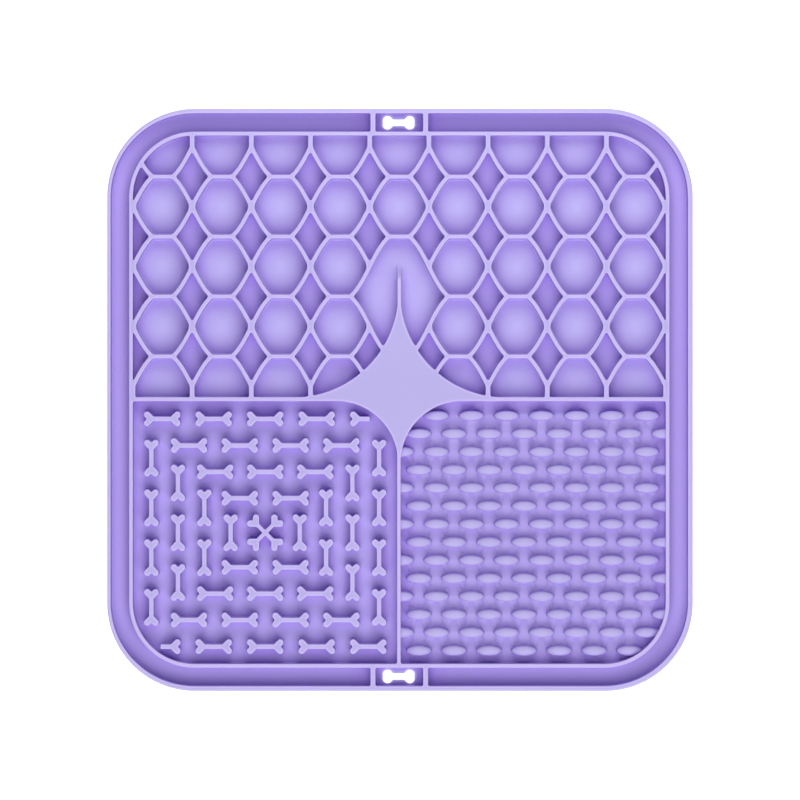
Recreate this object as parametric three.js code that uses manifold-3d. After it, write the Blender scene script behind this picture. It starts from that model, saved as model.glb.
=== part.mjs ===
// A square lick mat, moulded in one piece of soft silicone and lying flat with its relief up.
// Millimetres, +Z up. X runs across the mat, Y towards its honeycomb side, and the origin is
// under its centre, on the surface that it lies on.

import * as THREE from 'three';
import { mergeVertices } from 'three/addons/utils/BufferGeometryUtils.js';
import Module from 'manifold-3d';

const wasm = await Module();
wasm.setup();

// The mat
const width = 200;
const depth = 198.5;
const height = 7.5;
const floorLevel = 2.5;
const cornerRadius = 30;
const cornerSteps = 9;
const edgeBevel = 0.4;

// The rim, the gutter inside it and the wall inside the gutter
const rimThickness = 1.45;
const gutterWidth = 6.2;
const wallThickness = 1.4;
const gutterOutside = rimThickness;
const gutterInside = rimThickness + gutterWidth;
const fieldInset = gutterInside + wallThickness;

// The walls that part the three fields
const crossWallY = 0.3;
const crossWallThickness = 1.45;
const middleWallThickness = 1.36;

// The hanging holes in the gutter, each between two ribs
const holeY = 94.65;
const holeBone = { halfLength: 5.6, shaftHalf: 1.22, lobeRadius: 1.75, lobeOffset: 0.68 };
const ribX = 9.0;
const ribThickness = 1.8;

// The honeycomb: cells in straight rows and columns, with a diamond in each gap between four
const cellPitch = 20.2;
const rowPitch = 20.47;
const firstRowY = 86.42;
const columnsEachSide = 4;
const rows = 5;
const flatLength = 7.24;
const flatThickness = 1.28;
const slantThickness = 1.18;
const stubThickness = 1.7;
const cellCornerCut = 0.35;
const slant = new THREE.QuadraticBezierCurve(
  new THREE.Vector2(flatLength / 2, rowPitch / 2),
  new THREE.Vector2(6.1, 7.95),
  new THREE.Vector2(cellPitch / 2, 0),
);

// The four-pointed star, bounded by four round scoops, and the ridge on from its long point
const upperScoop = { x: 36.2, y: 36.6, radius: 35.8 };
const lowerScoop = { x: 21.6, y: -21.6, radius: 21.1 };
const scoopSteps = 10;
const ridgeThickness = 1.36;
const ridgeEndY = 46.4;
const ridgeSlopeLength = 2.2;

// The field of bones: square rings around two crossed bones
const bone = { halfLength: 6.3, shaftHalf: 0.82, lobeRadius: 1.14, lobeOffset: 1.42 };
const crossedBone = { halfLength: 7.0, shaftHalf: 0.72, lobeRadius: 1.14, lobeOffset: 1.42 };
const bonesX = -45.8;
const bonesY = -45.45;
const cutBoneStub = 0.6;
const lobeSteps = 3;
const rings = [
  { offset: 11.8, rowPitch: 17.35, columnPitch: 17.0 },
  { offset: 20.8, rowPitch: 17.1, columnPitch: 17.0 },
  { offset: 29.8, rowPitch: 17.35, columnPitch: 17.0 },
  { offset: 38.9, rowPitch: 17.6, columnPitch: 17.0 },
];

// The field of oval bumps, each row half a pitch along from the last
const bumpLength = 8.9;
const bumpWidth = 4.2;
const bumpHeight = 4.2;
const bumpShoulder = { reach: 0.74, rise: 0.7 };
const bumpSides = 6;
const bumpPitchX = 12.0;
const bumpPitchY = 6.174;
const bumpRows = 14;
const bumpsInRow = 8;
const firstBumpX = 0.6;
const firstBumpY = -5.2;

const quarterTurn = Math.PI / 2;

// How far a cutting shape runs on past a surface, the top of each hollow that is open above,
// and the top of whatever is kept standing in such a hollow
const overshoot = 1;
const openTop = height + overshoot;
const clearTop = openTop + overshoot;

// Two points nearer than this are one point
const sameDistance = 1e-6;

// A closed geometry as a solid that can be joined and cut
function solidOf(geometry) {
  geometry.deleteAttribute('normal');
  geometry.deleteAttribute('uv');
  const merged = mergeVertices(geometry);
  return new wasm.Manifold(new wasm.Mesh({
    numProp: 3,
    vertProperties: Float32Array.from(merged.getAttribute('position').array),
    triVerts: Uint32Array.from(merged.getIndex().array),
  }));
}

// A finished solid as a geometry again
function geometryOf(solid) {
  const mesh = solid.getMesh();
  const geometry = new THREE.BufferGeometry();
  geometry.setAttribute('position', new THREE.BufferAttribute(mesh.vertProperties, 3));
  geometry.setIndex(new THREE.BufferAttribute(mesh.triVerts, 1));
  geometry.computeVertexNormals();
  return geometry;
}

function joined(solids) {
  return solids.reduce((whole, solid) => whole.add(solid));
}

// Upright walls from one level to another over outlines that stand apart
function prisms(outlines, bottom, top) {
  const shapes = outlines.map((outline) => new THREE.Shape(outline));
  const geometry = new THREE.ExtrudeGeometry(shapes, { depth: top - bottom, bevelEnabled: false });
  geometry.translate(0, 0, bottom);
  return solidOf(geometry);
}

function arc(x, y, radius, from, to, steps) {
  return Array.from({ length: steps + 1 }, (_, step) => {
    const angle = from + (to - from) * step / steps;
    return new THREE.Vector2(x + radius * Math.cos(angle), y + radius * Math.sin(angle));
  });
}

function rectangle(left, bottom, right, top) {
  return [
    new THREE.Vector2(left, bottom),
    new THREE.Vector2(right, bottom),
    new THREE.Vector2(right, top),
    new THREE.Vector2(left, top),
  ];
}

// The mat's own outline, drawn in on all sides
function matOutline(inset) {
  const x = width / 2 - cornerRadius;
  const y = depth / 2 - cornerRadius;
  const radius = cornerRadius - inset;
  return [
    ...arc(x, y, radius, 0, quarterTurn, cornerSteps),
    ...arc(-x, y, radius, quarterTurn, 2 * quarterTurn, cornerSteps),
    ...arc(-x, -y, radius, 2 * quarterTurn, 3 * quarterTurn, cornerSteps),
    ...arc(x, -y, radius, 3 * quarterTurn, 4 * quarterTurn, cornerSteps),
  ];
}

// Points mirrored in one axis or both and put in reverse order, to follow on from the first ones
function mirrored(points, signX, signY) {
  return points.map((point) => new THREE.Vector2(signX * point.x, signY * point.y)).reverse();
}

// Points that fall on a mirror line come twice, and are kept once
function withoutRepeats(outline) {
  return outline.filter((point, index) => {
    const next = outline[(index + 1) % outline.length];
    return point.distanceTo(next) > sameDistance;
  });
}

// A quarter outline, drawn from near the Y axis round to near the X axis, mirrored both ways
function fourQuarters(quarter) {
  const right = [...quarter, ...mirrored(quarter, 1, -1)];
  return withoutRepeats([...right, ...mirrored(right, -1, 1)]);
}

function placed(outline, x, y, turn = 0) {
  const centre = new THREE.Vector2(x, y);
  const origin = new THREE.Vector2();
  return outline.map((point) => point.clone().rotateAround(origin, turn).add(centre));
}

// A point on one face of a slanting wall: side 1 faces the cell, and side -1 the diamond
function slantFace(t, side) {
  const tangent = slant.getTangent(t);
  const inward = new THREE.Vector2(tangent.y, -tangent.x).multiplyScalar(side * slantThickness / 2);
  return slant.getPoint(t).add(inward);
}

// Where that face, followed straight on from one of its ends, reaches a level in x or y
function slantCorner(t, side, axis, level) {
  const point = slantFace(t, side);
  const tangent = slant.getTangent(t);
  return point.addScaledVector(tangent, (level - point[axis]) / tangent[axis]);
}

// The inside of a cell from its level wall down to its side corner, which is slightly cut off
function cellQuarter() {
  const tip = slantCorner(1, 1, 'y', 0).x - cellCornerCut;
  return [
    slantCorner(0, 1, 'y', rowPitch / 2 - flatThickness / 2),
    slantFace(0.5, 1),
    slantCorner(1, 1, 'x', tip),
  ];
}

function diamondQuarter() {
  const quarter = [
    slantCorner(1, -1, 'x', cellPitch / 2),
    slantFace(0.5, -1),
    slantCorner(0, -1, 'y', rowPitch / 2),
  ];
  return quarter.map((point) => new THREE.Vector2(cellPitch / 2 - point.x, rowPitch / 2 - point.y));
}

// Half a cell between its level wall, which is above, and the straight stubs below its corners
function halfCell() {
  const stubFace = cellPitch / 2 - stubThickness / 2;
  const right = [
    slantCorner(0, 1, 'y', rowPitch / 2 - flatThickness / 2),
    slantFace(0.5, 1),
    slantCorner(1, 1, 'x', stubFace),
    new THREE.Vector2(stubFace, -rowPitch / 2),
  ];
  return [...right, ...mirrored(right, -1, 1)];
}

// The large open cell that holds the star's long point: a cell, the two diamonds beside its
// lower half and the cell below, without the walls between them
function openCell() {
  const upper = [
    slantCorner(0, 1, 'y', rowPitch / 2 - flatThickness / 2),
    slantFace(0.5, 1),
    slantFace(1, 1),
  ];
  const shoulder = [slantFace(0.5, -1), slantCorner(0, -1, 'y', rowPitch / 2)]
    .map((point) => new THREE.Vector2(cellPitch - point.x, -point.y));
  const right = [...upper, ...shoulder];
  const below = mirrored(right, 1, -1).map((point) => point.setY(point.y - rowPitch));
  const side = withoutRepeats([...right, ...below]);
  return [...side, ...mirrored(side, -1, 1)];
}

function honeycombPockets() {
  const cell = fourQuarters(cellQuarter());
  const diamond = fourQuarters(diamondQuarter());
  const pockets = [];
  const rowY = (row) => firstRowY - row * rowPitch;
  for (let column = -columnsEachSide; column <= columnsEachSide; column += 1) {
    const x = column * cellPitch;
    pockets.push(placed(mirrored(halfCell(), 1, -1), x, rowY(0)));
    pockets.push(placed(halfCell(), x, rowY(rows - 1)));
    for (let row = 1; row < rows - 1; row += 1) {
      const open = column === 0 && row > 1;
      if (!open) pockets.push(placed(cell, x, rowY(row)));
    }
  }
  for (let gap = -columnsEachSide - 0.5; gap <= columnsEachSide + 0.5; gap += 1) {
    for (let row = 0; row < rows - 1; row += 1) {
      const open = Math.abs(gap) < 1 && row === 2;
      if (!open) pockets.push(placed(diamond, gap * cellPitch, rowY(row + 0.5)));
    }
  }
  pockets.push(placed(openCell(), 0, rowY(2)));
  return prisms(pockets, floorLevel, openTop);
}

// The part of the plan inside the inner wall, between two levels in x and two in y
function field(left, bottom, right, top) {
  const whole = prisms([matOutline(fieldInset)], floorLevel, openTop);
  return whole.intersect(prisms([rectangle(left, bottom, right, top)], 0, clearTop));
}

function gutter() {
  const outside = prisms([matOutline(gutterOutside)], floorLevel, openTop);
  const inside = prisms([matOutline(gutterInside)], 0, clearTop);
  const ribs = [-ribX, ribX].map((x) => (
    rectangle(x - ribThickness / 2, -depth, x + ribThickness / 2, depth)
  ));
  return outside.subtract(inside).subtract(prisms(ribs, 0, clearTop));
}

// A bone's outline: a straight shaft that opens at 45 degrees into two round lobes at each end
function boneQuarter({ halfLength, shaftHalf, lobeRadius, lobeOffset }) {
  const axisAngle = Math.asin(Math.min(1, lobeOffset / lobeRadius));
  const endAngle = -Math.min(quarterTurn / 2, axisAngle);
  const lobeX = halfLength - lobeRadius;
  const lobe = arc(lobeX, lobeOffset, lobeRadius, 1.5 * quarterTurn, endAngle, lobeSteps);
  const start = lobe[0];
  const end = lobe[lobeSteps];
  return [
    new THREE.Vector2(start.x - (start.y - shaftHalf), shaftHalf),
    ...lobe,
    new THREE.Vector2(end.x - end.y, 0),
  ];
}

function boneOutline(size) {
  return fourQuarters(boneQuarter(size));
}

// The end of a bone whose other end was left off to clear a corner of its field
function cutBoneOutline(size) {
  const upper = [new THREE.Vector2(-cutBoneStub, size.shaftHalf), ...boneQuarter(size)];
  return withoutRepeats([...upper, ...mirrored(upper, 1, -1)]);
}

// The place of one of a number of things in a row whose middle is zero
function centred(index, count) {
  return index - (count - 1) / 2;
}

function bones() {
  const whole = boneOutline(bone);
  const cut = cutBoneOutline(bone);
  const outlines = [];
  rings.forEach(({ offset, rowPitch: pitch, columnPitch }, ring) => {
    const inRow = ring + 2;
    const inColumn = ring + 1;
    const outermost = ring === rings.length - 1;
    for (let index = 0; index < inRow; index += 1) {
      const x = bonesX + centred(index, inRow) * pitch;
      const lastAbove = outermost && index === inRow - 1;
      const firstBelow = outermost && index === 0;
      outlines.push(lastAbove
        ? placed(cut, x, bonesY + offset, 2 * quarterTurn)
        : placed(whole, x, bonesY + offset));
      outlines.push(placed(firstBelow ? cut : whole, x, bonesY - offset));
    }
    for (let index = 0; index < inColumn; index += 1) {
      const y = bonesY + centred(index, inColumn) * columnPitch;
      outlines.push(placed(whole, bonesX - offset, y, quarterTurn));
      outlines.push(placed(whole, bonesX + offset, y, quarterTurn));
    }
  });
  const crossed = [0.5, -0.5].map((turn) => (
    prisms([placed(boneOutline(crossedBone), bonesX, bonesY, turn * quarterTurn)], 0, clearTop)
  ));
  return joined([prisms(outlines, 0, clearTop), ...crossed]);
}

// An oval bump, turned as a round one of unit radius that reaches below the floor, then stretched
function bump(x, y) {
  const profile = [
    new THREE.Vector2(0, -overshoot),
    new THREE.Vector2(1, -overshoot),
    new THREE.Vector2(1, 0),
    new THREE.Vector2(bumpShoulder.reach, bumpShoulder.rise * bumpHeight),
    new THREE.Vector2(0, bumpHeight),
  ];
  const geometry = new THREE.LatheGeometry(profile, bumpSides);
  geometry.rotateX(quarterTurn);
  geometry.scale(bumpLength / 2, bumpWidth / 2, 1);
  geometry.translate(x, y, floorLevel);
  return solidOf(geometry);
}

function bumps() {
  const solids = [];
  for (let row = 0; row < bumpRows; row += 1) {
    const shift = row % 2 === 0 ? 0 : 0.5;
    for (let index = 0; index < bumpsInRow; index += 1) {
      const x = firstBumpX + (index + shift) * bumpPitchX;
      solids.push(bump(x, firstBumpY - row * bumpPitchY));
    }
  }
  return joined(solids);
}

// The star's own outline, drawn as its right side and mirrored
function starOutline() {
  const half = ridgeThickness / 2;
  const { x, y, radius } = upperScoop;
  const fromAngle = Math.PI + Math.acos((x - half) / radius);
  const wallTop = crossWallY + crossWallThickness / 2;
  const toAngle = 3 * quarterTurn - Math.acos((y - wallTop) / radius);
  const upper = arc(x, y, radius, fromAngle, toAngle, scoopSteps);
  const lower = arc(
    lowerScoop.x, lowerScoop.y, lowerScoop.radius, quarterTurn, 2 * quarterTurn, scoopSteps,
  );
  const right = [...upper, ...lower];
  return [...right, ...mirrored(right, -1, 1)];
}

// The thin ridge beyond the star's long point, whose end slopes down to the floor
function starRidge() {
  const profile = [
    new THREE.Vector2(0, 0),
    new THREE.Vector2(ridgeEndY, 0),
    new THREE.Vector2(ridgeEndY, floorLevel),
    new THREE.Vector2(ridgeEndY - ridgeSlopeLength, height),
    new THREE.Vector2(ridgeEndY - ridgeSlopeLength, clearTop),
    new THREE.Vector2(0, clearTop),
  ];
  const shape = new THREE.Shape(profile);
  const options = { depth: ridgeThickness, bevelEnabled: false };
  const geometry = new THREE.ExtrudeGeometry(shape, options);
  geometry.rotateX(quarterTurn);
  geometry.rotateZ(quarterTurn);
  geometry.translate(-ridgeThickness / 2, 0, 0);
  return solidOf(geometry);
}

function block() {
  const shape = new THREE.Shape(matOutline(edgeBevel));
  const geometry = new THREE.ExtrudeGeometry(shape, {
    depth: height - 2 * edgeBevel,
    bevelSize: edgeBevel,
    bevelThickness: edgeBevel,
    bevelSegments: 1,
  });
  geometry.translate(0, 0, edgeBevel);
  return solidOf(geometry);
}

function matSolid() {
  const right = width / 2;
  const wallTop = crossWallY + crossWallThickness / 2;
  const wallBottom = crossWallY - crossWallThickness / 2;
  const wallSide = middleWallThickness / 2;
  const honeycomb = honeycombPockets().intersect(field(-right, wallTop, right, depth / 2));
  const bonesBasin = field(-right, -depth / 2, -wallSide, wallBottom).subtract(bones());
  const bumpsBasin = field(wallSide, -depth / 2, right, wallBottom).subtract(bumps());
  const fields = joined([honeycomb, bonesBasin, bumpsBasin])
    .subtract(prisms([starOutline()], 0, clearTop))
    .subtract(starRidge());
  const holes = prisms(
    [placed(boneOutline(holeBone), 0, holeY), placed(boneOutline(holeBone), 0, -holeY)],
    -overshoot, floorLevel + overshoot,
  );
  return block().subtract(gutter()).subtract(fields).subtract(holes);
}

const silicone = new THREE.MeshStandardMaterial({ color: 0xb4a5ea, roughness: 0.55, metalness: 0 });

const mat = new THREE.Mesh(geometryOf(matSolid()), silicone);
mat.name = 'mat';

const lickMat = new THREE.Group();
lickMat.add(mat);

export default lickMat;
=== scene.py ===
"""A square silicone lick mat on a plain white floor, seen from straight above.

The mat's fine skin is built in millimetres: outlines in the plan, and at each outline a wall with
a rounded top edge, a slight slope and a rounded foot. Its sizes are its solid's, apart from those
that were measured again on the photo.
"""

import math

import bpy
import numpy as np
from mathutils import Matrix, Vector
from mathutils.geometry import delaunay_2d_cdt


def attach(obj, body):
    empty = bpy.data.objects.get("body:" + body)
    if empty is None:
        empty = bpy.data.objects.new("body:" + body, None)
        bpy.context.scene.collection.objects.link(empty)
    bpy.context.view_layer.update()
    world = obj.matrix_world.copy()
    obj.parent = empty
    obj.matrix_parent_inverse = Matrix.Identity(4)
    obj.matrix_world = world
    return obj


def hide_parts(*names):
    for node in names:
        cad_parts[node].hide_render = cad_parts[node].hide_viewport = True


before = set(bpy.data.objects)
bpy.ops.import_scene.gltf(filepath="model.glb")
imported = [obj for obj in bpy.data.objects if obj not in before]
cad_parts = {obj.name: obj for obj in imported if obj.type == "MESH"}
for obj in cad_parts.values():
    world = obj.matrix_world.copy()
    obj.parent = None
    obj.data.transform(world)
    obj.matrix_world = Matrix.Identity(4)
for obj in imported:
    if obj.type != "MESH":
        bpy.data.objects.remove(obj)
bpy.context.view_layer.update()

MM = 0.001
QUARTER = math.pi / 2

# The mat. Its relief is laid out in DEPTH and then shifted, and its outer outline is a bit deeper
WIDTH = 200.0
DEPTH = 198.5
OUTER_DEPTH = 198.9
TOP = 7.5
FLOOR = 2.5
CORNER_RADIUS = 30.0
RELIEF_SHIFT = (-0.25, 0.12)

# The rim, the gutter inside it, the wall inside the gutter and the walls between the fields
RIM = 1.45
GUTTER = 6.2
WALL = 1.4
FIELD_INSET = RIM + GUTTER + WALL
CROSS_WALL_Y = 0.18
CROSS_WALL = 1.45
MIDDLE_WALL_X = -0.15
MIDDLE_WALL = 1.36
WALL_TOP = CROSS_WALL_Y + CROSS_WALL / 2
WALL_BOTTOM = CROSS_WALL_Y - CROSS_WALL / 2

# The hanging holes in the gutter, each between two ribs
HOLE = (-0.2, 94.95)
HOLE_BONE = dict(half_length=5.5, shaft_half=1.18, lobe_radius=1.7, lobe_offset=0.66)
RIB_X = 9.0
RIB = 1.8

# The honeycomb. A slanting wall's middle line is a curve from the end of a cell's level wall to
# the cell's side corner, drawn towards SLANT_BOW
CELL_PITCH = 20.22
ROW_PITCH = 20.47
FIRST_ROW_Y = 86.42
COLUMNS_EACH_SIDE = 4
ROWS = 5
OPEN_ROW = 2
FLAT_LENGTH = 6.9
FLAT = 1.42
SLANT = 1.46
STUB = 1.7
SLANT_BOW = (6.28, 8.05)
SLANT_CURVE = np.array([(FLAT_LENGTH / 2, ROW_PITCH / 2), SLANT_BOW, (CELL_PITCH / 2, 0.0)])
CELL_TOP_ROUND = 1.0
CELL_SIDE_ROUND = 3.0
STUB_ROUND = 2.0
DIAMOND_TIP_ROUND = 0.45
DIAMOND_SIDE_ROUND = 0.65
SMALLEST_POCKET = 1.5

# The star, bounded by round scoops given as x, y and radius, and its ridge. The ridge slopes
# down along RIDGE_FADE, its points lie close from RIDGE_LEAD before that, and it ends before
# RIDGE_CLEAR_Y
UPPER_SCOOP = (36.2, 36.6, 35.8)
LOWER_SCOOP = (21.6, -21.6, 21.1)
RIDGE = 1.36
RIDGE_START_Y = 10.0
RIDGE_END_Y = 46.4
RIDGE_FADE = (41.0, 46.8)
RIDGE_CLEAR_Y = 48.5
RIDGE_POINTS = 16
RIDGE_LEAD = 1

# The bones. Each ring has its distance from the middle and its pitch in rows and in columns
BONE = dict(half_length=6.3, shaft_half=0.82, lobe_radius=1.14, lobe_offset=1.42)
CROSSED_BONE = dict(half_length=7.0, shaft_half=0.72, lobe_radius=1.14, lobe_offset=1.42)
BONES_X = -45.8
BONES_Y = -45.45
CUT_STUB = 0.6
RINGS = [(11.8, 17.35, 17.0), (20.8, 17.1, 17.0), (29.8, 17.35, 17.0), (38.9, 17.6, 17.0)]

# The bumps
BUMP_LENGTH = 8.9
BUMP_WIDTH = 3.6
BUMP_HEIGHT = 3.9
BUMP_FALL = 0.45
BUMP_PITCH_X = 12.0
BUMP_PITCH_Y = 6.182
BUMP_ROWS = 14
BUMPS_IN_ROW = 8
FIRST_BUMP = (0.7, -5.5)
BUMP_SIDES = 26

# A bump's profile: places from its middle, at 0, past its edge, at 1, and the share of its height
DOME_OUT = np.array([0.0, 0.22, 0.41, 0.6, 0.72, 0.81, 0.88, 0.93, 0.965, 1.0, 1.04])
DOME_HEIGHT = np.array([1.0, 0.995, 0.98, 0.948, 0.915, 0.875, 0.825, 0.755, 0.63, 0.03, 0.0])

# How edges and feet are rounded. A face lies back by SLOPE at its top and forward at its foot,
# and UNDER_BEND places the middle of the rounding below a hole
TOP_ROUND = 0.22
FOOT_ROUND = 0.25
CELL_FOOT = 0.6
SMALL_FOOT = 0.15
BORE_ROUND = 0.1
RIM_OUTER_ROUND = 0.5
UNDER_ROUND = 0.3
UNDER_BEND = 0.3
SLOPE = 0.03
TOP_STEPS = 3
FOOT_STEPS = 2
OUTER_STEPS = 4
UNDER_STEPS = 3

# How corners are rounded in the plan. A corner is a turn past SHARP, its tip is cut back by
# MOST_CUT at most, and its rounding takes no more than EDGE_SHARE of the edges beside it. Other
# points keep CORNER_ROOM roundings away from a corner, and NEAREST_POINTS from each other
CORNER_ROUND = 0.45
FIELD_ROUND = 0.6
GUTTER_ROUND = 0.5
BONE_ROUND = 0.4
SHARP = math.radians(24)
MOST_CUT = 0.5
EDGE_SHARE = 0.47
CORNER_ROOM = 1.3
NEAREST_POINTS = 0.12

# The angles between an arc's points
ARC_STEP = math.radians(15)
CORNER_STEP = math.radians(18)
RIDGE_CAP_STEP = math.radians(22)
OUTLINE_STEP = math.radians(4)
UPPER_SCOOP_STEP = math.radians(3)
LOWER_SCOOP_STEP = math.radians(4)

# The search for a rounded corner's place along a slanting wall, and the number of points from
# one corner to the next
SLANT_SEARCH = (-1.5, 2.5)
SEARCH_STEPS = 50
SLANT_POINTS = 6

# How far a wall's rings may move: a share of the way to where they fold over, worked out with
# a least rate of narrowing, and changing by no more than a share of the way along the wall
FOLD_SHARE = 0.85
LEAST_RATE = 1e-3
ROOM_CHANGE = 0.2

# How the field of bumps is meshed. A bump is whole if it keeps WHOLE_CLEARANCE to the field's
# outline, and otherwise it is cut at CUT_CLEARANCE from it
BUMPS_WALL_STEP = 0.7
CUT_CLEARANCE = SLOPE + 0.004
WHOLE_CLEARANCE = SLOPE + FOOT_ROUND + 0.05
CUT_STEPS = 20
SHORTEST_EDGE = 0.02
NORMAL_STEP = 0.03

# Distances below which two points are one, and a margin for rounding errors
SAME_POINT = 1e-4
SAME_IN_OUTLINES = 1e-5
SAME_IN_BUMPS = 1e-4
TINY = 1e-6

# The silicone's colours: in the open and with its faint clouds; painted shade for its crevices
# and painted light for its thin walls and edges
SILICONE = (0.488, 0.437, 0.822)
SILICONE_CLOUD = (0.504, 0.452, 0.836)
# Painted shade: the darker, more violet colour mixed in where crevices hem the surface in
SILICONE_PAINTED_SHADE = (0.372, 0.235, 0.735)
# Painted light: the paler colour mixed in on narrow walls and edges
SILICONE_PAINTED_LIGHT = (0.605, 0.518, 0.925)

# The silicone's finish, and the noises behind it
CLOUDS = dict(scale=28.0, detail=3.0, roughness=0.5)
GRAIN = dict(scale=2600.0, detail=3.0, roughness=0.6)
NOISE_RANGE = (0.3, 0.7)
ROUGHNESS = (0.5, 0.62)
GRAIN_STRENGTH = 0.25
GRAIN_DEPTH = 0.06 * MM
SILICONE_SPECULAR = 0.35
SUBSURFACE = 0.05
SUBSURFACE_RADIUS = (0.9, 0.7, 1.2)
SUBSURFACE_SCALE = 1 * MM

# Where painted shade darkens the silicone and where painted light makes it paler
PAINTED_SHADE_IN_CREVICES = dict(distance=8 * MM, inside=False, none=1.0, full=0.2)
PAINTED_LIGHT_ON_THIN_EDGES = dict(distance=1 * MM, inside=True, none=0.92, full=0.8)
OCCLUSION_SAMPLES = 8

# The floor, the light from all round and the camera, whose view is as wide as the photo's. The
# two reaches are in metres
FLOOR_REACH = 3.0
FLOOR_DROP = 0.2 * MM
FLOOR_GREY = (0.5, 0.5, 0.5, 1.0)
FLOOR_ROUGHNESS = 0.9
FLOOR_GLOW = 0.9
WHITE = (1.0, 1.0, 1.0, 1.0)
STUDIO_STRENGTH = 0.02
CAMERA_DISTANCE = 1500.0
CAMERA_REACH = 20.0
VIEW_WIDTH = 273.2


# Outlines in the plan: arrays of points, anticlockwise


def arc(x, y, radius, start, end, step=ARC_STEP):
    """Points on an arc from one angle to another."""
    count = max(1, math.ceil(abs(end - start) / step - TINY))
    angles = np.linspace(start, end, count + 1)
    return np.column_stack([x + radius * np.cos(angles), y + radius * np.sin(angles)])


def area(loop):
    after = np.roll(loop, -1, axis=0)
    return 0.5 * np.sum(loop[:, 0] * after[:, 1] - loop[:, 1] * after[:, 0])


def closed(points):
    """The points as one anticlockwise loop without repeats."""
    loop = np.asarray(points, float)
    gap = np.linalg.norm(loop - np.roll(loop, -1, axis=0), axis=1)
    loop = loop[gap > SAME_POINT]
    return loop if area(loop) > 0 else loop[::-1]


def mirrored(points, sign_x, sign_y):
    return (np.asarray(points) * (sign_x, sign_y))[::-1]


def both_sides(right):
    """The whole outline, from its right side."""
    return closed(np.vstack([right, mirrored(right, -1, 1)]))


def four_quarters(quarter):
    """The whole outline, from its upper right quarter."""
    return both_sides(np.vstack([quarter, mirrored(quarter, 1, -1)]))


def placed(loop, x, y, turn=0.0):
    cosine, sine = math.cos(turn), math.sin(turn)
    return loop @ np.array([(cosine, sine), (-sine, cosine)]) + (x, y)


def rectangle(left, bottom, right, top):
    return np.array([(left, bottom), (right, bottom), (right, top), (left, top)], float)


def mat_outline(inset, depth=DEPTH):
    """The mat's outline, or one that lies inside it by that much."""
    x, y = WIDTH / 2 - CORNER_RADIUS, depth / 2 - CORNER_RADIUS
    radius = CORNER_RADIUS - inset
    corners = [(x, y), (-x, y), (-x, -y), (x, -y)]
    return closed(np.vstack([
        arc(*corner, radius, k * QUARTER, (k + 1) * QUARTER, OUTLINE_STEP)
        for k, corner in enumerate(corners)
    ]))


def members(loops):
    """For each loop, the numbers of its points when all the loops' points are counted on."""
    numbers, first = [], 0
    for loop in loops:
        numbers.append(list(range(first, first + len(loop))))
        first += len(loop)
    return numbers


def parts_where(loops, keep):
    """The outlines of the plan's parts that lie in just such a set of loops as keep accepts."""
    points = [Vector(point) for loop in loops for point in loop]
    coords, _, triangles, _, _, within = delaunay_2d_cdt(
        points, [], members(loops), 1, SAME_IN_OUTLINES,
    )
    edges = set()
    for triangle, inside in zip(triangles, within):
        if keep(set(inside)):
            for start, end in zip(triangle, triangle[1:] + triangle[:1]):
                if (end, start) in edges:
                    edges.remove((end, start))
                else:
                    edges.add((start, end))
    following = dict(sorted(edges))
    found = []
    while following:
        start = min(following)
        chain = [start]
        after = following.pop(start)
        while after != start:
            chain.append(after)
            after = following.pop(after)
        found.append(np.array([coords[index][:2] for index in chain]))
    return found


def turns(loop):
    """At each point, the unit steps to it and from it, their lengths and the turn to the left."""
    to = loop - np.roll(loop, 1, axis=0)
    length_to = np.linalg.norm(to, axis=1)
    to = to / length_to[:, None]
    on, length_on = np.roll(to, -1, axis=0), np.roll(length_to, -1)
    turn = np.arctan2(to[:, 0] * on[:, 1] - to[:, 1] * on[:, 0], np.sum(to * on, axis=1))
    return to, on, length_to, length_on, turn


def thinned(loop, radius):
    """The loop without the points that crowd a sharp corner or each other."""
    loop = closed(loop)
    while True:
        _, _, length_to, length_on, turn = turns(loop)
        sharp = np.abs(turn) > SHARP
        cut = 1 / np.cos(turn / 2) - 1
        used_radius = np.minimum(radius, MOST_CUT / np.maximum(cut, TINY))
        needed = used_radius * np.tan(np.abs(turn) / 2)
        reach = np.where(sharp, needed * CORNER_ROOM, NEAREST_POINTS)
        near = (length_to < np.roll(reach, 1)) | (length_on < np.roll(reach, -1))
        spare = np.flatnonzero(near & ~sharp)
        if not len(spare):
            return loop
        loop = np.delete(loop, spare[0], axis=0)


def softened(loop, radius):
    """The loop with its sharp corners rounded."""
    loop = thinned(loop, radius)
    to, _, length_to, length_on, turn = turns(loop)
    points = []
    for k, point in enumerate(loop):
        if abs(turn[k]) < SHARP:
            points.append([point])
            continue
        half = math.tan(abs(turn[k]) / 2)
        cut = 1 / math.cos(turn[k] / 2) - 1
        reach = min(
            min(radius, MOST_CUT / cut) * half,
            EDGE_SHARE * length_to[k],
            EDGE_SHARE * length_on[k],
        )
        side = math.copysign(1.0, turn[k])
        start = point - reach * to[k]
        out = side * np.array([to[k][1], -to[k][0]])
        centre = start - out * reach / half
        angle = math.atan2(out[1], out[0])
        points.append(arc(*centre, reach / half, angle, angle + turn[k], CORNER_STEP))
    return closed(np.vstack(points))


def divided(loop, longest):
    """The loop with points added so that no edge is longer than that."""
    points = []
    for start, end in zip(loop, np.roll(loop, -1, axis=0)):
        count = max(1, math.ceil(np.linalg.norm(end - start) / longest - TINY))
        points.append(start + (end - start) * np.arange(count)[:, None] / count)
    return np.vstack(points)


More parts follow.
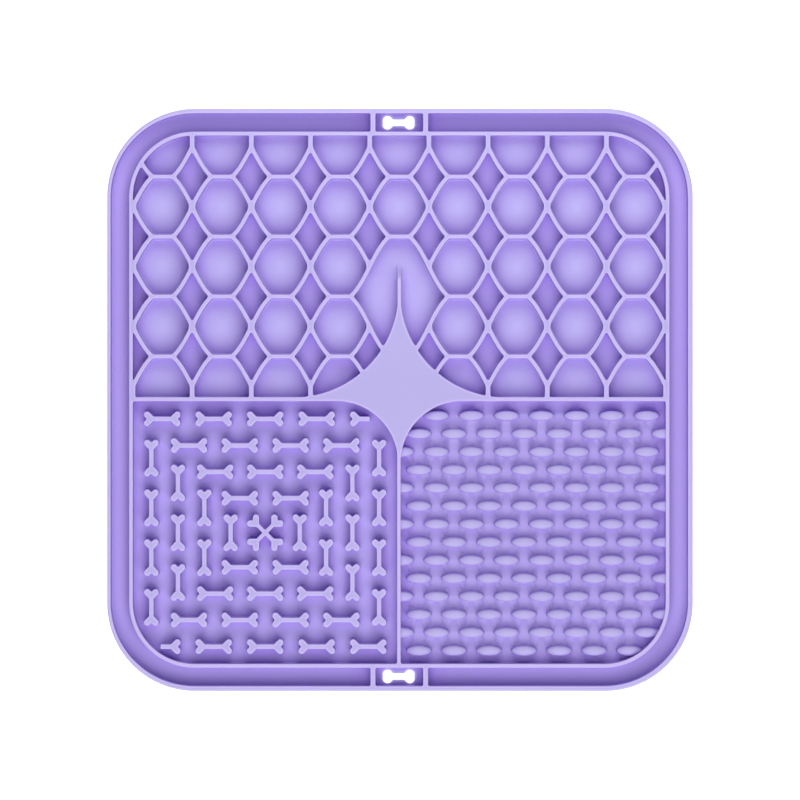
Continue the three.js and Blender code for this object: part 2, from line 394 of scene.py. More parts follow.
def distance_in(plan, loop):
    """How far in from an anticlockwise loop each place lies."""
    along = np.roll(loop, -1, axis=0) - loop
    from_start = plan[:, None] - loop
    share = np.clip(np.sum(from_start * along, axis=2) / np.sum(along**2, axis=1), 0, 1)
    away = np.linalg.norm(from_start - share[:, :, None] * along, axis=2)
    every, nearest = np.arange(len(plan)), np.argmin(away, axis=1)
    start, step = from_start[every, nearest], along[nearest]
    inside = step[:, 0] * start[:, 1] - step[:, 1] * start[:, 0]
    return np.where(inside >= 0, 1.0, -1.0) * away[every, nearest]


# The honeycomb's outlines. A place along a slanting wall is 0 at the curve's start and 1 at its
# end, and the wall runs on straight beyond both. Its side is 1 in the cell and -1 in the diamond


def slant_face(place, side, gap):
    """A point off the slanting wall's middle line, and the direction that it is off in."""
    share = min(max(place, 0.0), 1.0)
    start, bow, end = SLANT_CURVE
    tangent = 2 * (1 - share) * (bow - start) + 2 * share * (end - bow)
    point = (1 - share) ** 2 * start + 2 * share * (1 - share) * bow + share * share * end
    point = point + (place - share) * tangent
    tangent = tangent / np.linalg.norm(tangent)
    off = side * np.array([tangent[1], -tangent[0]])
    return point + off * gap, off


def slant_round(side, radius, axis, level):
    """A rounded corner of that radius, centred on that level, beside the slanting face: the
    place where it leaves the face, its centre and the angle there."""
    low, high = SLANT_SEARCH
    gap = SLANT / 2 + radius
    rises = slant_face(high, side, gap)[0][axis] > slant_face(low, side, gap)[0][axis]
    for _ in range(SEARCH_STEPS):
        place = (low + high) / 2
        if (slant_face(place, side, gap)[0][axis] < level) == rises:
            low = place
        else:
            high = place
    centre, off = slant_face(place, side, gap)
    return place, centre, math.atan2(-off[1], -off[0])


def slant_between(start, end, side):
    """Points of the slanting face between two places."""
    places = np.linspace(start, end, SLANT_POINTS)[1:-1]
    return np.array([slant_face(place, side, SLANT / 2)[0] for place in places])


def cell_upper(end):
    """A cell's outline from the middle of its level wall to a place on its slanting wall."""
    level = ROW_PITCH / 2 - FLAT / 2
    place, centre, angle = slant_round(1, CELL_TOP_ROUND, 1, level - CELL_TOP_ROUND)
    return np.vstack([
        arc(*centre, CELL_TOP_ROUND, QUARTER, angle), slant_between(place, end, 1),
    ])


def cell_outline():
    place, centre, angle = slant_round(1, CELL_SIDE_ROUND, 1, 0.0)
    corner = arc(*centre, CELL_SIDE_ROUND, angle, 0.0)
    return four_quarters(np.vstack([cell_upper(place), corner]))


def diamond_side():
    """The diamond's rounded side corner, from its slanting wall to its level axis."""
    place, centre, angle = slant_round(-1, DIAMOND_SIDE_ROUND, 1, ROW_PITCH / 2)
    corner = arc(*centre, DIAMOND_SIDE_ROUND, angle % (4 * QUARTER), 2 * QUARTER)
    return place, corner


def diamond_outline():
    start, centre, angle = slant_round(-1, DIAMOND_TIP_ROUND, 0, CELL_PITCH / 2)
    end, corner = diamond_side()
    tip = arc(*centre, DIAMOND_TIP_ROUND, 3 * QUARTER, angle % (4 * QUARTER))
    quarter = np.vstack([tip, slant_between(start, end, -1), corner])
    return four_quarters(np.array([CELL_PITCH / 2, ROW_PITCH / 2]) - quarter)


def half_cell():
    """Half a cell under its level wall, between the straight stubs below its side corners."""
    face = CELL_PITCH / 2 - STUB / 2
    place, centre, angle = slant_round(1, STUB_ROUND, 0, face - STUB_ROUND)
    corner = arc(*centre, STUB_ROUND, angle, 0.0)
    return both_sides(np.vstack([cell_upper(place), corner, [(face, -ROW_PITCH / 2)]]))


def open_cell():
    """A cell, the two diamonds beside its lower half and the cell below, without the walls
    between them."""
    end, corner = diamond_side()
    shoulder = np.vstack([slant_between(1.0, end, -1), corner])
    shoulder = np.array([CELL_PITCH, 0.0]) + shoulder * (-1, -1)
    upper = np.vstack([cell_upper(1.0), [slant_face(1.0, 1, SLANT / 2)[0]], shoulder])
    lower = mirrored(upper, 1, -1) - (0, ROW_PITCH)
    return both_sides(np.vstack([upper, lower]))


def honeycomb_outlines():
    """All the cells and diamonds, also where they reach out of the honeycomb's field."""
    def row_y(row):
        return FIRST_ROW_Y - row * ROW_PITCH

    cell, diamond, half = cell_outline(), diamond_outline(), half_cell()
    found = [placed(open_cell(), 0, row_y(OPEN_ROW))]
    for column in range(-COLUMNS_EACH_SIDE, COLUMNS_EACH_SIDE + 1):
        x = column * CELL_PITCH
        found.append(placed(closed(mirrored(half, 1, -1)), x, row_y(0)))
        found.append(placed(half, x, row_y(ROWS - 1)))
        for row in range(1, ROWS - 1):
            in_open_cell = column == 0 and row >= OPEN_ROW
            if not in_open_cell:
                found.append(placed(cell, x, row_y(row)))
    for gap in range(-COLUMNS_EACH_SIDE - 1, COLUMNS_EACH_SIDE + 1):
        for row in range(ROWS - 1):
            in_open_cell = gap in (-1, 0) and row == OPEN_ROW
            if not in_open_cell:
                found.append(placed(diamond, (gap + 0.5) * CELL_PITCH, row_y(row + 0.5)))
    return found


# The star's outlines


def star_outline():
    half = RIDGE / 2
    x, y, radius = UPPER_SCOOP
    start = 2 * QUARTER + math.acos((x - half) / radius)
    end = 3 * QUARTER - math.acos((y - WALL_TOP) / radius)
    upper = arc(x, y, radius, start, end, UPPER_SCOOP_STEP)
    lower = arc(*LOWER_SCOOP, QUARTER, 2 * QUARTER, LOWER_SCOOP_STEP)
    return both_sides(np.vstack([upper, lower]))


def ridge_outline():
    """The ridge, with more points where it slopes down, and a round end."""
    half = RIDGE / 2
    levels = np.linspace(RIDGE_END_Y - half, RIDGE_FADE[0] - RIDGE_LEAD, RIDGE_POINTS)
    side = np.column_stack([np.full(RIDGE_POINTS, half), levels])
    cap = arc(0, RIDGE_END_Y - half, half, 0, 2 * QUARTER, RIDGE_CAP_STEP)
    start = [(-half, RIDGE_START_Y), (half, RIDGE_START_Y)]
    return closed(np.vstack([start, side[::-1], cap[1:-1], side * (-1, 1)]))


# The bones' outlines


def bone_quarter(half_length, shaft_half, lobe_radius, lobe_offset):
    """A straight shaft that opens at 45 degrees into a round lobe."""
    reach = math.asin(min(1.0, lobe_offset / lobe_radius))
    end_angle = -min(QUARTER / 2, reach)
    lobe = arc(half_length - lobe_radius, lobe_offset, lobe_radius, 1.5 * QUARTER, end_angle)
    start, end = lobe[0], lobe[-1]
    flare = (start[0] - (start[1] - shaft_half), shaft_half)
    return np.vstack([[flare], lobe, [(end[0] - end[1], 0.0)]])


def bone_outline(size):
    return softened(four_quarters(bone_quarter(**size)), BONE_ROUND)


def cut_bone_outline(size):
    """The right end of a bone, with a stub of its shaft."""
    upper = np.vstack([[(-CUT_STUB, size["shaft_half"])], bone_quarter(**size)])
    return softened(closed(np.vstack([upper, mirrored(upper, 1, -1)])), BONE_ROUND)


def crossed_bones_outline():
    whole = four_quarters(bone_quarter(**CROSSED_BONE))
    pair = [placed(whole, BONES_X, BONES_Y, turn * QUARTER) for turn in (0.5, -0.5)]
    return softened(parts_where(pair, bool)[0], BONE_ROUND)


def bone_outlines():
    """Square rings of bones round two crossed ones, with two bones cut at opposite corners."""
    whole, cut = bone_outline(BONE), cut_bone_outline(BONE)
    found = [crossed_bones_outline()]
    for ring, (offset, row_pitch, column_pitch) in enumerate(RINGS):
        in_row, in_column = ring + 2, ring + 1
        outermost = ring == len(RINGS) - 1
        for k in range(in_row):
            x = BONES_X + (k - (in_row - 1) / 2) * row_pitch
            cut_above = outermost and k == in_row - 1
            cut_below = outermost and k == 0
            above = placed(cut, 0, 0, 2 * QUARTER) if cut_above else whole
            found.append(placed(above, x, BONES_Y + offset))
            found.append(placed(cut if cut_below else whole, x, BONES_Y - offset))
        for k in range(in_column):
            y = BONES_Y + (k - (in_column - 1) / 2) * column_pitch
            for side in (-1, 1):
                found.append(placed(whole, BONES_X + side * offset, y, QUARTER))
    return found


# The skin: points, normals and faces in millimetres

skin_points, skin_normals, skin_faces = [], [], []


def add_points(plan, heights, across, up):
    """New points of the skin, with normals across in the plan and up."""
    first = len(skin_points)
    for (x, y), z, (normal_x, normal_y), normal_z in zip(plan, heights, across, up):
        skin_points.append((x, y, z))
        skin_normals.append((normal_x, normal_y, normal_z))
    return list(range(first, len(skin_points)))


def bridge(upper, lower, hollow):
    """A band of faces between two rings of as many points, round a hollow or round a solid."""
    count = len(upper)
    for k in range(count):
        after = (k + 1) % count
        quad = (upper[k], upper[after], lower[after], lower[k])
        skin_faces.append(quad if hollow else quad[::-1])


def fill(rings, up=True):
    """Flat faces inside the first ring and outside the others."""
    indices = [index for ring in rings for index in ring]
    plan = [Vector(skin_points[index][:2]) for index in indices]
    _, _, triangles, origins, _, within = delaunay_2d_cdt(
        plan, [], members(rings), 1, SAME_IN_OUTLINES,
    )
    for triangle, inside in zip(triangles, within):
        if set(inside) == {0}:
            face = [indices[origins[corner][0]] for corner in triangle]
            skin_faces.append(face if up else face[::-1])


def mitres(loop):
    """At each point, the move outward that shifts both its edges by one, and the normal."""
    to, on, _, _, _ = turns(loop)
    normal_to = np.column_stack([to[:, 1], -to[:, 0]])
    normal_on = np.column_stack([on[:, 1], -on[:, 0]])
    total = normal_to + normal_on
    move = total / (1 + np.sum(normal_to * normal_on, axis=1))[:, None]
    return move, total / np.linalg.norm(total, axis=1)[:, None]


# A wall is a list of rings from the top down. Each has how far it lies into the solid, its
# height and the angle of its normal from straight up


def rounded_edge(radius, top, slope):
    """A rounded upper edge."""
    rings = []
    for k in range(TOP_STEPS + 1):
        angle = QUARTER * k / TOP_STEPS
        off, drop = 1 - math.sin(angle), 1 - math.cos(angle)
        rings.append((slope + radius * off, top - radius * drop, angle))
    return rings


def rounded_wall(foot_round):
    """A wall from the mat's top to its floor, with a rounded edge and foot."""
    rings = rounded_edge(TOP_ROUND, TOP, SLOPE)
    for k in range(FOOT_STEPS, -1, -1):
        angle = QUARTER * k / FOOT_STEPS
        off, rise = 1 - math.sin(angle), 1 - math.cos(angle)
        rings.append((-SLOPE - foot_round * off, FLOOR + foot_round * rise, angle))
    return rings


def room(loop, move):
    """How far each point may move inward and outward before its ring folds over."""
    edge = np.roll(loop, -1, axis=0) - loop
    length = np.linalg.norm(edge, axis=1)
    rate = np.sum((np.roll(move, -1, axis=0) - move) * edge, axis=1) / length**2
    count = len(loop)
    limits = []
    for side in (1, -1):
        limit = FOLD_SHARE / np.maximum(side * rate, LEAST_RATE)
        limit = np.minimum(limit, np.roll(limit, 1))
        for k in [*range(2 * count), *range(2 * count, 0, -1)]:
            here, after = k % count, (k + 1) % count
            reach = ROOM_CHANGE * length[here]
            limit[after] = min(limit[after], limit[here] + reach)
            limit[here] = min(limit[here], limit[after] + reach)
        limits.append(limit)
    return limits


def wall_rings(loop, rings, hollow=True):
    """The wall round a hollow or a solid. Returns its top and bottom rings."""
    move, normal = mitres(loop)
    inward, outward = room(loop, move)
    side = 1 if hollow else -1
    count = len(loop)
    made = []
    for off, height, angle in rings:
        off = np.clip(np.full(count, side * off), -inward, outward)
        plan = loop + off[:, None] * move
        across = -side * math.sin(angle) * normal
        made.append(add_points(
            plan, np.full(count, height), across, np.full(count, math.cos(angle)),
        ))
    for upper, lower in zip(made, made[1:]):
        bridge(upper, lower, hollow)
    return made[0], made[-1]


def hollow_of(outline, foot, islands=()):
    """A flat-floored hollow. Returns its top ring."""
    top, bottom = wall_rings(outline, rounded_wall(foot))
    fill([bottom, *islands])
    return top


# The honeycomb and the bones


def honeycomb_field():
    """The hollows of the upper half. Returns their top rings."""
    upper_half = rectangle(-WIDTH / 2, WALL_TOP, WIDTH / 2, DEPTH / 2)
    bounds = [mat_outline(FIELD_INSET), upper_half]
    kept_standing = [star_outline(), ridge_outline()]

    def in_pocket(inside):
        field, half, star, ridge = range(4)
        in_field = field in inside and half in inside
        return in_field and star not in inside and ridge not in inside and max(inside) > ridge

    found = []
    for outline in parts_where([*bounds, *kept_standing, *honeycomb_outlines()], in_pocket):
        if area(outline) < SMALLEST_POCKET:
            continue
        outline = softened(outline, CORNER_ROUND)
        inward, _ = room(outline, mitres(outline)[0])
        foot = CELL_FOOT if min(inward) > CELL_FOOT + SLOPE else FOOT_ROUND
        found.append(hollow_of(outline, foot))
    return found


def lower_field(left, right):
    """The outline of a field below the cross wall, between two levels in X and off the star."""
    (outline,) = parts_where(
        [mat_outline(FIELD_INSET), rectangle(left, -DEPTH / 2, right, WALL_BOTTOM), star_outline()],
        lambda inside: inside == {0, 1},
    )
    return softened(outline, FIELD_ROUND)


def bones_field():
    """The hollow with its bones. Returns its top ring."""
    feet = []
    for outline in bone_outlines():
        top, bottom = wall_rings(outline, rounded_wall(FOOT_ROUND), hollow=False)
        fill([top])
        feet.append(bottom)
    outline = lower_field(-WIDTH / 2, MIDDLE_WALL_X - MIDDLE_WALL / 2)
    return hollow_of(outline, FOOT_ROUND, feet)


# The field of bumps, whose end bumps run into its walls


class Plan:
    """Points in the plan, and the edges that their triangles keep to."""

    def __init__(self):
        self.points = []
        self.count = 0
        self.edges = []

    def add(self, points):
        """Adds an array of points. Returns the first one's number."""
        first = self.count
        self.points.append(points)
        self.count += len(points)
        return first

    def triangles(self, outlines):
        """The triangles that keep to the edges and outlines: their points, their corners, the
        numbers of the plan's points at each point, and the outlines that each triangle is in."""
        points = [Vector(point) for point in np.vstack(self.points)]
        coords, _, triangles, origins, _, within = delaunay_2d_cdt(
            points, self.edges, outlines, 1, SAME_IN_BUMPS,
        )
        return np.array([tuple(point) for point in coords]), triangles, origins, within


def bump_height(x, y):
    """The bumps' height over the floor, which falls off towards a bump's two ends."""
    first_x, first_y = FIRST_BUMP
    row = np.clip(np.round((first_y - y) / BUMP_PITCH_Y), 0, BUMP_ROWS - 1)
    shift = np.where(row % 2 == 0, 0.0, 0.5)
    k = np.clip(np.round((x - first_x) / BUMP_PITCH_X - shift), 0, BUMPS_IN_ROW - 1)
    off_x = (x - first_x - (k + shift) * BUMP_PITCH_X) / (BUMP_LENGTH / 2)
    off_y = (y - first_y + row * BUMP_PITCH_Y) / (BUMP_WIDTH / 2)
    across = np.interp(np.hypot(off_x, off_y), DOME_OUT, DOME_HEIGHT)
    return BUMP_HEIGHT * across * np.sqrt(1 - BUMP_FALL * np.minimum(np.abs(off_x), 1.0) ** 2)


def bump_at(plan):
    """The bumps' height over the floor and their normals at places in the plan."""
    x, y = plan.T
    normal = np.column_stack([
        bump_height(x - NORMAL_STEP, y) - bump_height(x + NORMAL_STEP, y),
        bump_height(x, y - NORMAL_STEP) - bump_height(x, y + NORMAL_STEP),
        np.full(len(plan), 2 * NORMAL_STEP),
    ])
    height = bump_height(x, y)
    normal[height <= 0] = (0.0, 0.0, 1.0)
    return height, normal / np.linalg.norm(normal, axis=1)[:, None]


def bump_middles():
    """The bumps' middles, row by row, with each second row half a pitch along."""
    first_x, first_y = FIRST_BUMP
    for row in range(BUMP_ROWS):
        shift = 0.5 * (row % 2)
        for k in range(BUMPS_IN_ROW):
            yield np.array([first_x + (k + shift) * BUMP_PITCH_X, first_y - row * BUMP_PITCH_Y])


def bump_loops(centre):
    """A bump's rings in the plan, from near its middle out to its foot."""
    angles = np.linspace(0, 2 * math.pi, BUMP_SIDES, endpoint=False)
    unit = np.column_stack([np.cos(angles), np.sin(angles)])
    size = np.array([BUMP_LENGTH / 2, BUMP_WIDTH / 2])
    return [centre + out * size * unit for out in DOME_OUT[1:]]


def whole_bump(centre, loops):
    """A bump that stands clear of the walls. Returns its lowest ring."""
    made = []
    for loop in loops:
        height, normal = bump_at(loop)
        made.append(add_points(loop, FLOOR + height, normal[:, :2], normal[:, 2]))
    (tip,) = add_points([centre], [FLOOR + BUMP_HEIGHT], [(0.0, 0.0)], [1.0])
    for k in range(BUMP_SIDES):
        skin_faces.append((tip, made[0][k], made[0][(k + 1) % BUMP_SIDES]))
    for upper, lower in zip(made, made[1:]):
        bridge(upper, lower, hollow=False)
    return made[-1]


def last_clear(clear, beyond, outline):
    """The last place clear of the wall, on the way from a clear one to one beyond it."""
    for _ in range(CUT_STEPS):
        middle = (clear + beyond) / 2
        if distance_in(middle[None], outline)[0] > CUT_CLEARANCE:
            clear = middle
        else:
            beyond = middle
    return clear


def add_cut_bump(plan, centre, loops, outline):
    """Adds to the plan what stands clear of the wall in a bump that runs into it."""
    if distance_in(centre[None], outline)[0] > CUT_CLEARANCE:
        plan.add(centre[None])
    for loop in loops:
        clear = distance_in(loop, outline) > CUT_CLEARANCE
        for k in range(BUMP_SIDES):
            after = (k + 1) % BUMP_SIDES
            start, end = loop[k], loop[after]
            if not (clear[k] or clear[after]):
                continue
            if not clear[after]:
                end = last_clear(start, end, outline)
            elif not clear[k]:
                start = last_clear(end, start, outline)
            if np.linalg.norm(end - start) > SHORTEST_EDGE:
                first = plan.add(np.array([start, end]))
                plan.edges.append((first, first + 1))


def add_bumps_wall(plan, outline, rings):
    """Adds the rings of the field's wall to the plan. Returns their heights and normals."""
    move, normal = mitres(outline)
    count = len(outline)
    heights, normals = [], []
    for off, level, angle in rings:
        first = plan.add(outline + off * move)
        plan.edges += [(first + k, first + (k + 1) % count) for k in range(count)]
        heights.append(np.full(count, level))
        normals.append(np.column_stack([
            -math.sin(angle) * normal, np.full(count, math.cos(angle)),
        ]))
    return np.concatenate(heights), np.vstack(normals)


def add_bumps(plan, outline):
    """Builds the whole bumps in the skin, and adds those that run into the wall to the plan.
    Returns the whole bumps' lowest rings."""
    feet = []
    for centre in bump_middles():
        loops = bump_loops(centre)
        reach = distance_in(loops[-1], outline)
        if reach.min() > WHOLE_CLEARANCE:
            feet.append(whole_bump(centre, loops))
        elif reach.max() >= CUT_CLEARANCE:
            add_cut_bump(plan, centre, loops, outline)
    return feet


def bumps_levels(coords, origins, outline, rings, wall):
    """The field's heights and normals at its points: the bumps' or, where it is higher, the
    wall's."""
    wall_heights, wall_normals = wall
    depths, levels, _ = zip(*rings)
    height = np.interp(distance_in(coords, outline), [-depth for depth in depths], levels)
    normal = np.tile((0.0, 0.0, 1.0), (len(coords), 1))
    for index, origin in enumerate(origins):
        member = min(origin, default=len(wall_heights))
        if member < len(wall_heights):
            height[index] = wall_heights[member]
            normal[index] = wall_normals[member]
    rise, bump_normal = bump_at(coords)
    on_bump = (rise + FLOOR > height + TINY) & (rise > 0)
    height = np.where(on_bump, rise + FLOOR, height)
    return height, np.where(on_bump[:, None], bump_normal, normal)


def bumps_field():
    """The hollow with all its bumps. Returns its top ring."""
    outline = lower_field(MIDDLE_WALL_X + MIDDLE_WALL / 2, WIDTH / 2)
    outline = divided(outline, BUMPS_WALL_STEP)
    rings = rounded_wall(FOOT_ROUND)
    plan = Plan()
    wall = add_bumps_wall(plan, outline, rings)
    feet = add_bumps(plan, outline)
    feet_start = plan.count
    feet_indices = [index for foot in feet for index in foot]
    outlines = [list(range(len(outline)))]
    for foot in feet:
        first = plan.add(np.array([skin_points[index][:2] for index in foot]))
        outlines.append(list(range(first, first + len(foot))))
    coords, triangles, origins, within = plan.triangles(outlines)
    height, normal = bumps_levels(coords, origins, outline, rings, wall)
    indices, top_ring = [], {}
    for index, origin in enumerate(origins):
        member = min(origin, default=0)
        if member >= feet_start:
            indices.append(feet_indices[member - feet_start])
        else:
            indices += add_points(
                coords[index][None], [height[index]], normal[index][None, :2], [normal[index][2]],
            )
        if origin:
            top_ring[member] = indices[-1]
    for triangle, inside in zip(triangles, within):
        if set(inside) == {0}:
            skin_faces.append([indices[corner] for corner in triangle])
    return [top_ring[k] for k in range(len(outline))]


# The gutter, with the ribs and the hanging holes


def gutter_outlines():
    """The parts of the plan inside the rim that lie outside the inner wall and the ribs."""
    ribs = [rectangle(x - RIB / 2, -DEPTH, x + RIB / 2, DEPTH) for x in (-RIB_X, RIB_X)]
    return parts_where(
        [mat_outline(RIM), mat_outline(RIM + GUTTER), *ribs], lambda inside: inside == {0},
    )


def hanging_hole(side):
    """The bore through the gutter's floor, above or below. Returns its upper and lower rings."""
    bore = placed(bone_outline(HOLE_BONE), HOLE[0], side * HOLE[1])
    return wall_rings(bore, [
        *rounded_edge(BORE_ROUND, FLOOR, SLOPE),
        (0.0, UNDER_ROUND, QUARTER),
        (UNDER_BEND * UNDER_ROUND, UNDER_BEND * UNDER_ROUND, QUARTER * 1.5),
        (UNDER_ROUND, 0.0, 2 * QUARTER),
    ])


def gutter():
    """The gutter's hollows. Returns their top rings and the lower rings of the holes."""
    tops, holes = [], []
    for outline in gutter_outlines():
        outline = softened(outline, GUTTER_ROUND)
        between_ribs = np.ptp(outline[:, 0]) < 3 * RIB_X
        foot = SMALL_FOOT if between_ribs else FOOT_ROUND
        top, bottom = wall_rings(outline, rounded_wall(foot))
        islands = []
        if between_ribs:
            upper, lower = hanging_hole(math.copysign(1.0, outline[0][1]))
            islands.append(upper)
            holes.append(lower)
        fill([bottom, *islands])
        tops.append(top)
    return tops, holes


# The outside, the top and the underside


def outer_rings():
    """The mat's outer wall, rounded above and below."""
    rings = []
    for k in range(OUTER_STEPS + 1):
        angle = QUARTER * k / OUTER_STEPS
        off, drop = 1 - math.sin(angle), 1 - math.cos(angle)
        rings.append((RIM_OUTER_ROUND * off, TOP - RIM_OUTER_ROUND * drop, angle))
    for k in range(UNDER_STEPS + 1):
        angle = QUARTER * k / UNDER_STEPS
        off, height = 1 - math.cos(angle), 1 - math.sin(angle)
        rings.append((UNDER_ROUND * off, UNDER_ROUND * height, QUARTER + angle))
    return rings


def ridge_sloped(skin):
    """The skin with the ridge's end sloped down to the floor, and which points that concerns."""
    x, y, z = skin.T
    low, high = RIDGE_FADE
    concerned = (np.abs(x) < RIDGE) & (y > low) & (y < RIDGE_CLEAR_Y)
    share = np.clip((y - low) / (high - low), 0, 1)
    stays = 1 - share * share * (3 - 2 * share)
    height = np.where(concerned, FLOOR + (z - FLOOR) * stays, z)
    return np.column_stack([x, y, height]), concerned


def lick_mat():
    """The mat's mesh, from all its parts."""
    top_rings = [*honeycomb_field(), bones_field(), bumps_field()]
    gutter_tops, under_rings = gutter()
    relief_end = len(skin_points)
    outer_top, outer_bottom = wall_rings(
        mat_outline(0.0, OUTER_DEPTH), outer_rings(), hollow=False,
    )
    fill([outer_top, *top_rings, *gutter_tops])
    fill([outer_bottom, *under_rings], up=False)

    skin, concerned = ridge_sloped(np.array(skin_points))
    skin[:relief_end, :2] += RELIEF_SHIFT
    mesh = bpy.data.meshes.new("lick_mat")
    mesh.from_pydata((skin * MM).tolist(), [], skin_faces)
    mesh.polygons.foreach_set("use_smooth", np.ones(len(mesh.polygons), bool))
    mesh.update()
    found = np.empty(len(skin) * 3)
    mesh.vertex_normals.foreach_get("vector", found)
    normals = np.array(skin_normals)
    normals[concerned] = found.reshape(-1, 3)[concerned]
    mesh.normals_split_custom_set_from_vertices(normals.tolist())
    return mesh


# Materials


def new_material(name):
    material = bpy.data.materials.new(name)
    material.use_nodes = True
    nodes = material.node_tree.nodes
    return material, nodes, material.node_tree.links, nodes["Principled BSDF"]


def noise(nodes, links, coordinates, scale, detail, roughness):
    node = nodes.new("ShaderNodeTexNoise")
    node.inputs["Scale"].default_value = scale
    node.inputs["Detail"].default_value = detail
    node.inputs["Roughness"].default_value = roughness
    links.new(coordinates, node.inputs["Vector"])
    return node.outputs["Fac"]


def spread(nodes, links, value, low, high):
    """A noise's usual range, spread from low to high."""
    node = nodes.new("ShaderNodeMapRange")
    node.inputs["From Min"].default_value = NOISE_RANGE[0]
    node.inputs["From Max"].default_value = NOISE_RANGE[1]
    node.inputs["To Min"].default_value = low
    node.inputs["To Max"].default_value = high
    links.new(value, node.inputs["Value"])
    return node.outputs["Result"]


def occlusion(nodes, links, distance, inside, none, full):
    """How hemmed in the surface is within a distance, outside or inside the solid: 0 where
    the first share of the view stays open and 1 where only the second does."""
    node = nodes.new("ShaderNodeAmbientOcclusion")
    node.samples = OCCLUSION_SAMPLES
    node.only_local = True
    node.inside = inside
    node.inputs["Distance"].default_value = distance
    closed_in = nodes.new("ShaderNodeMapRange")
    closed_in.inputs["From Min"].default_value = none
    closed_in.inputs["From Max"].default_value = full
    links.new(node.outputs["AO"], closed_in.inputs["Value"])
    return closed_in.outputs["Result"]


def mix(nodes, links, factor, first, second):
    """A colour between two, each a socket or a colour."""
    node = nodes.new("ShaderNodeMix")
    node.data_type = "RGBA"
    links.new(factor, node.inputs["Factor"])
    for name, colour in (("A", first), ("B", second)):
        if isinstance(colour, tuple):
            node.inputs[name].default_value = (*colour, 1.0)
        else:
            links.new(colour, node.inputs[name])
    return node.outputs["Result"]


def silicone():
    """Satin lavender silicone, with painted shade in its crevices and painted light on narrow
    edges.
    """
    material, nodes, links, shader = new_material("silicone")
    place = nodes.new("ShaderNodeTexCoord").outputs["Object"]
    clouds = noise(nodes, links, place, **CLOUDS)
    grain = noise(nodes, links, place, **GRAIN)
    flat = mix(nodes, links, spread(nodes, links, clouds, 0.0, 1.0), SILICONE, SILICONE_CLOUD)
    # Painted shade: a darker colour mixed in where the surface is hemmed in
    painted_shade_mask = occlusion(nodes, links, **PAINTED_SHADE_IN_CREVICES)
    # Painted light: a paler colour mixed in where the silicone is narrow
    painted_light_mask = occlusion(nodes, links, **PAINTED_LIGHT_ON_THIN_EDGES)
    with_painted_shade = mix(nodes, links, painted_shade_mask, flat, SILICONE_PAINTED_SHADE)
    links.new(mix(nodes, links, painted_light_mask, with_painted_shade, SILICONE_PAINTED_LIGHT), shader.inputs["Base Color"])
    links.new(spread(nodes, links, grain, *ROUGHNESS), shader.inputs["Roughness"])
    bump = nodes.new("ShaderNodeBump")
    bump.inputs["Strength"].default_value = GRAIN_STRENGTH
    bump.inputs["Distance"].default_value = GRAIN_DEPTH
    links.new(grain, bump.inputs["Height"])
    links.new(bump.outputs["Normal"], shader.inputs["Normal"])
    shader.inputs["Specular IOR Level"].default_value = SILICONE_SPECULAR
    shader.inputs["Subsurface Weight"].default_value = SUBSURFACE
    shader.inputs["Subsurface Radius"].default_value = SUBSURFACE_RADIUS
    shader.inputs["Subsurface Scale"].default_value = SUBSURFACE_SCALE
    return material


# The floor, the light and the camera


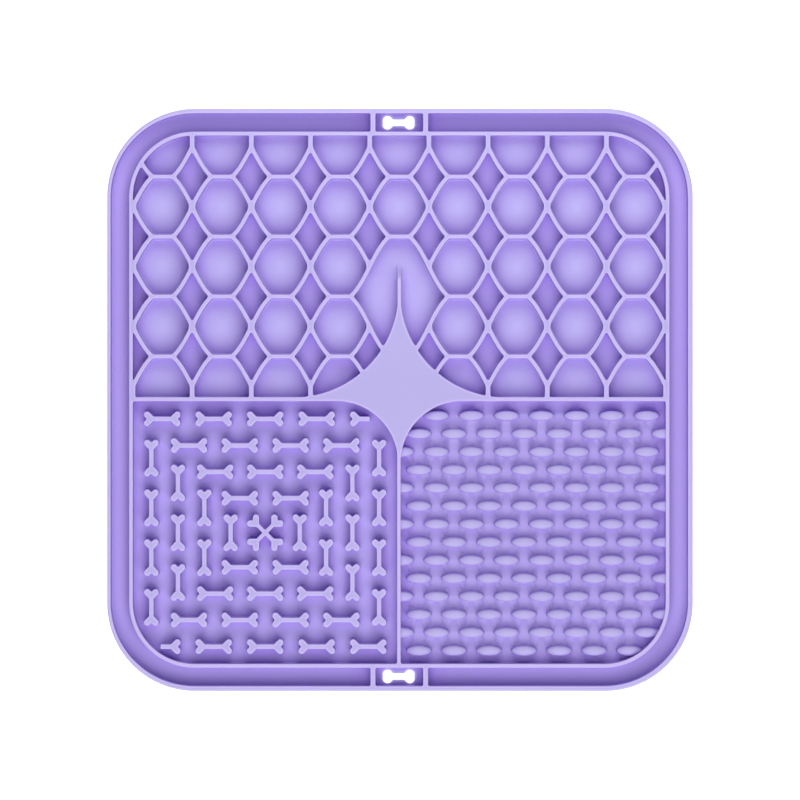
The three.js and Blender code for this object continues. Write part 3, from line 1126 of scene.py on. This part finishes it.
def white_floor():
    """A flat white floor just under the mat, which glows so that shadows hardly show on it."""
    floor_mesh = bpy.data.meshes.new("floor")
    square = rectangle(-FLOOR_REACH, -FLOOR_REACH, FLOOR_REACH, FLOOR_REACH)
    floor_mesh.from_pydata([(x, y, 0) for x, y in square], [], [(0, 1, 2, 3)])
    floor = bpy.data.objects.new("floor", floor_mesh)
    floor.location.z = -FLOOR_DROP
    bpy.context.scene.collection.objects.link(floor)
    material, _, _, shader = new_material("floor")
    shader.inputs["Base Color"].default_value = FLOOR_GREY
    shader.inputs["Roughness"].default_value = FLOOR_ROUGHNESS
    shader.inputs["Specular IOR Level"].default_value = 0.0
    shader.inputs["Emission Color"].default_value = WHITE
    shader.inputs["Emission Strength"].default_value = FLOOR_GLOW
    floor_mesh.materials.append(material)


def towards(azimuth, elevation):
    """A direction, with azimuth 0 at -Y and 90 at +X, and elevation above the floor."""
    around, above = math.radians(azimuth), math.radians(elevation)
    return Vector((
        math.sin(around) * math.cos(above), -math.cos(around) * math.cos(above), math.sin(above),
    )).normalized()


def area_light(name, direction, distance, size, power):
    """A square lamp at that distance in a direction, facing the mat, in metres and watts."""
    data = bpy.data.lights.new(name, "AREA")
    data.shape = "SQUARE"
    data.size = size
    data.energy = power
    lamp = bpy.data.objects.new(name, data)
    lamp.location = direction * distance
    lamp.visible_camera = False
    lamp.rotation_euler = direction.to_track_quat("Z", "Y").to_euler()
    bpy.context.scene.collection.objects.link(lamp)


def studio_world():
    """Faint white light from all round."""
    world = bpy.data.worlds.new("studio")
    world.use_nodes = True
    background = world.node_tree.nodes["Background"]
    background.inputs["Color"].default_value = WHITE
    background.inputs["Strength"].default_value = STUDIO_STRENGTH
    bpy.context.scene.world = world


def camera_above():
    """A camera far over the mat's middle, looking straight down."""
    data = bpy.data.cameras.new("camera")
    data.lens = data.sensor_width * CAMERA_DISTANCE / VIEW_WIDTH
    data.clip_end = CAMERA_REACH
    camera = bpy.data.objects.new("camera", data)
    camera.location = (0.0, 0.0, (TOP + CAMERA_DISTANCE) * MM)
    bpy.context.scene.collection.objects.link(camera)
    bpy.context.scene.camera = camera


# The scene

mesh = lick_mat()
mat = bpy.data.objects.new("lick_mat", mesh)
bpy.context.scene.collection.objects.link(mat)
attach(mat, "root")
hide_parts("mat")
mesh.materials.append(silicone())

white_floor()
area_light("front", towards(0, 60), distance=1.0, size=1.0, power=9.3)
area_light("front_low", towards(0, 25), distance=2.0, size=0.7, power=4.35)
area_light("side", towards(45, 40), distance=2.0, size=0.7, power=4.2)
area_light("back", towards(180, 40), distance=0.42, size=0.25, power=0.66)
area_light("back_side", towards(150, 40), distance=0.42, size=0.25, power=0.15)
studio_world()
camera_above()
bpy.context.scene.view_settings.view_transform = "Standard"
